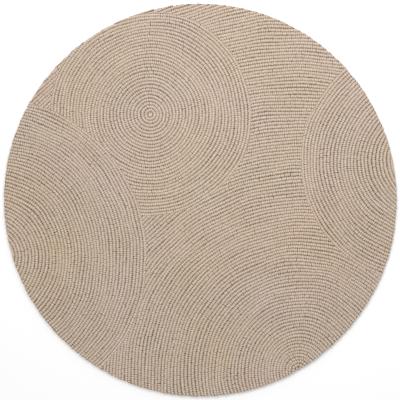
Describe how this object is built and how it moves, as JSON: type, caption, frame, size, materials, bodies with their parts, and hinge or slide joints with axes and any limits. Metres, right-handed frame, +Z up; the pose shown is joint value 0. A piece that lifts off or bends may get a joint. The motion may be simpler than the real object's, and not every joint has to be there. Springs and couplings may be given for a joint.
{
  "type": "wool rug",
  "caption": "Round wool rug with a thick loop pile, its rows running in overlapping fans of concentric arcs; it lies flat on a floor.",
  "frame": {"origin": "middle of the flat underside", "axes": "+Z up out of the pile, X and Y in the plane of the rug"},
  "size_m": [1.5, 1.5, 0.014],
  "materials": {
    "wool": "matte oatmeal wool yarn in thick loops"
  },
  "bodies": {
    "root": {"wool_rug": "wool"}
  },
  "joints": []
}
